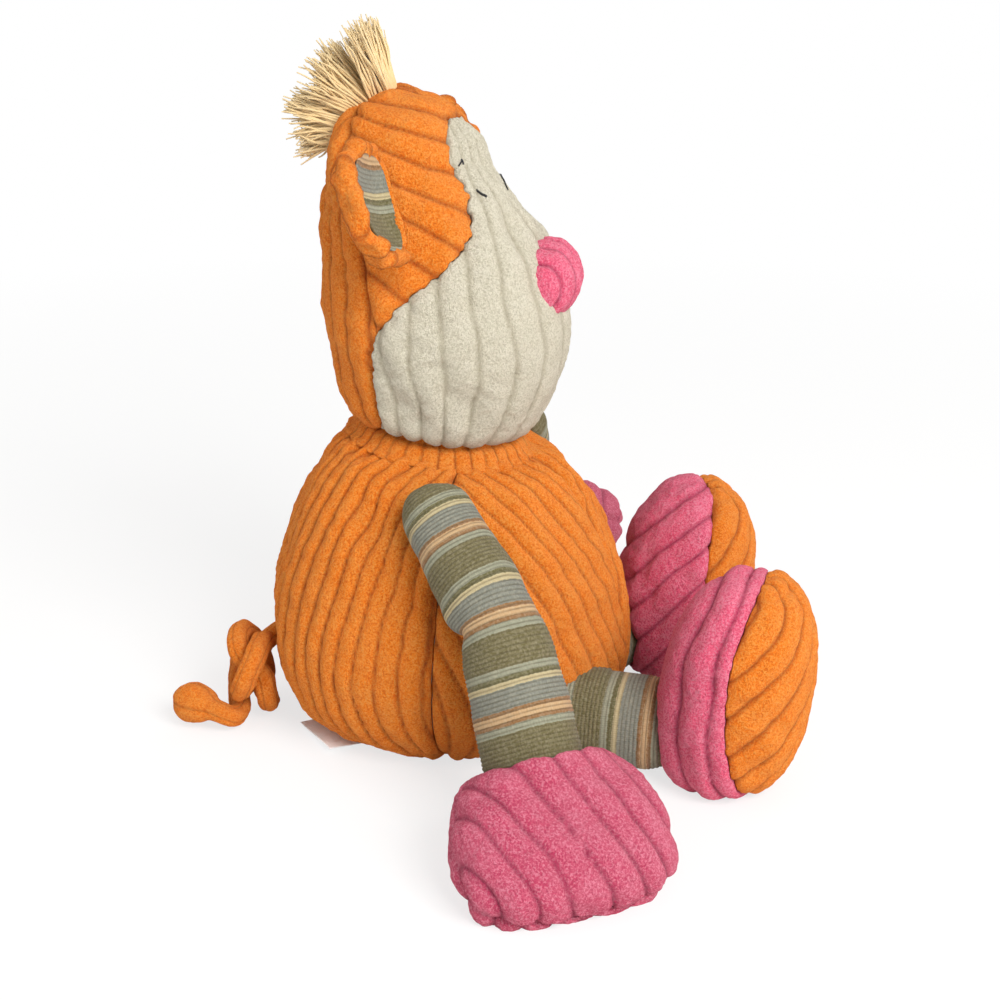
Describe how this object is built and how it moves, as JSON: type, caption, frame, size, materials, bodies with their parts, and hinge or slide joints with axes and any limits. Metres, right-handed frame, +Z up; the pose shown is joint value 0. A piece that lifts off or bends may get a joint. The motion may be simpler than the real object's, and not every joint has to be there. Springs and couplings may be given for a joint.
{
  "type": "plush toy monkey",
  "caption": "Seated plush toy monkey of wide-wale cord: pear body, long muzzle, striped knit arms and legs, mitts, big feet and a knotted tail.",
  "frame": {"origin": "centre of the flat underside that it sits on", "axes": "+Z up, +X the way the face looks, +Y its left side"},
  "size_m": [0.2718, 0.3555, 0.2977],
  "materials": {
    "orange_plush": "wide-wale corduroy plush",
    "cream_plush": "wide-wale corduroy plush",
    "pink_plush": "wide-wale corduroy plush",
    "striped_knit": "fine ribbed knit with olive, blue-grey, cream and tan stripes",
    "yarn": "brushed yarn",
    "filling": "polyester fibre",
    "pellet_bag": "plain woven bag of pellets",
    "stitching": "satin stitch",
    "label": "bare woven ribbon"
  },
  "bodies": {
    "torso": {"seat_panel": "orange_plush", "back_panel_right": "orange_plush", "back_panel_left": "orange_plush", "belly_panel_right": "orange_plush", "belly_panel_left": "orange_plush", "body_stuffing": "filling", "pellet_bag": "pellet_bag", "seam_label": "label"},
    "neck": {"neck_stuffing": "filling"},
    "head": {"head_back_panel": "orange_plush", "crown_panel_right": "orange_plush", "crown_panel_left": "orange_plush", "face_panel": "cream_plush", "head_stuffing": "filling", "nose": "pink_plush", "right_eye": "stitching", "left_eye": "stitching", "hair_tuft": "yarn"},
    "right_ear": {"right_ear_back": "orange_plush", "right_ear_lining": "striped_knit"},
    "left_ear": {"left_ear_back": "orange_plush", "left_ear_lining": "striped_knit"},
    "right_upper_arm": {"right_upper_arm": "striped_knit"},
    "right_forearm": {"right_forearm": "striped_knit"},
    "right_mitt": {"right_mitt": "pink_plush"},
    "left_upper_arm": {"left_upper_arm": "striped_knit"},
    "left_forearm": {"left_forearm": "striped_knit"},
    "left_mitt": {"left_mitt": "pink_plush"},
    "right_leg": {"right_leg": "striped_knit"},
    "right_foot": {"right_instep": "pink_plush", "right_sole": "orange_plush"},
    "left_leg": {"left_leg": "striped_knit"},
    "left_foot": {"left_instep": "pink_plush", "left_sole": "orange_plush"},
    "tail": {"tail": "orange_plush"}
  },
  "joints": [
    {"name": "neck_turn", "type": "hinge", "parent": "torso", "child": "neck", "pos_m": [-0.00565, 0, 0.13], "axis": [0.1392, 0, 0.9903], "range_deg": [-30, 30]},
    {"name": "head_nod", "type": "hinge", "parent": "neck", "child": "head", "pos_m": [-0.00565, 0, 0.13], "axis": [0, 1, 0], "range_deg": [-8, 6]},
    {"name": "right_ear_fold", "type": "hinge", "parent": "head", "child": "right_ear", "pos_m": [-0.01365, -0.0472, 0.231], "axis": [-0.3582, 0.2924, 0.8867], "range_deg": [-25, 25]},
    {"name": "left_ear_fold", "type": "hinge", "parent": "head", "child": "left_ear", "pos_m": [-0.01365, 0.0472, 0.231], "axis": [-0.3582, -0.2924, 0.8867], "range_deg": [-25, 25]},
    {"name": "right_shoulder_swing", "type": "hinge", "parent": "torso", "child": "right_upper_arm", "pos_m": [0.012, -0.05894, 0.112], "axis": [0, -1, 0], "range_deg": [-28, 100]},
    {"name": "right_elbow_bend", "type": "hinge", "parent": "right_upper_arm", "child": "right_forearm", "pos_m": [0.04315, -0.08394, 0.08192], "axis": [0.4335, 0.8608, -0.2666], "range_deg": [-25, 32]},
    {"name": "right_wrist_bend", "type": "hinge", "parent": "right_forearm", "child": "right_mitt", "pos_m": [0.06216, -0.10673, 0.03922], "axis": [-0.858, -0.5007, -0.1147], "range_deg": [-17, 17]},
    {"name": "left_shoulder_swing", "type": "hinge", "parent": "torso", "child": "left_upper_arm", "pos_m": [0.012, 0.05894, 0.112], "axis": [0, -1, 0], "range_deg": [-28, 100]},
    {"name": "left_elbow_bend", "type": "hinge", "parent": "left_upper_arm", "child": "left_forearm", "pos_m": [0.0061, 0.08543, 0.07001], "axis": [0.9903, 0, -0.1392], "range_deg": [-25, 30]},
    {"name": "left_wrist_bend", "type": "hinge", "parent": "left_forearm", "child": "left_mitt", "pos_m": [0.00248, 0.13047, 0.04426], "axis": [0.8466, -0.2113, -0.4885], "range_deg": [-17, 17]},
    {"name": "right_hip_spread", "type": "hinge", "parent": "torso", "child": "right_leg", "pos_m": [0.048, -0.034, 0.0205], "axis": [0, 0, 1], "range_deg": [-18, 6]},
    {"name": "right_ankle_bend", "type": "hinge", "parent": "right_leg", "child": "right_foot", "pos_m": [0.092, -0.034, 0.0205], "axis": [0.0349, 0.9994, 0], "range_deg": [-8, 20]},
    {"name": "left_hip_spread", "type": "hinge", "parent": "torso", "child": "left_leg", "pos_m": [0.048, 0.034, 0.0205], "axis": [0, 0, 1], "range_deg": [-6, 18]},
    {"name": "left_ankle_bend", "type": "hinge", "parent": "left_leg", "child": "left_foot", "pos_m": [0.05763, 0.04678, 0.0205], "axis": [-0.4226, 0.9063, 0], "range_deg": [-4, 15]},
    {"name": "tail_swing", "type": "hinge", "parent": "torso", "child": "tail", "pos_m": [-0.07478, 0, 0.027], "axis": [0, 0, -1], "range_deg": [-3, 48]}
  ]
}
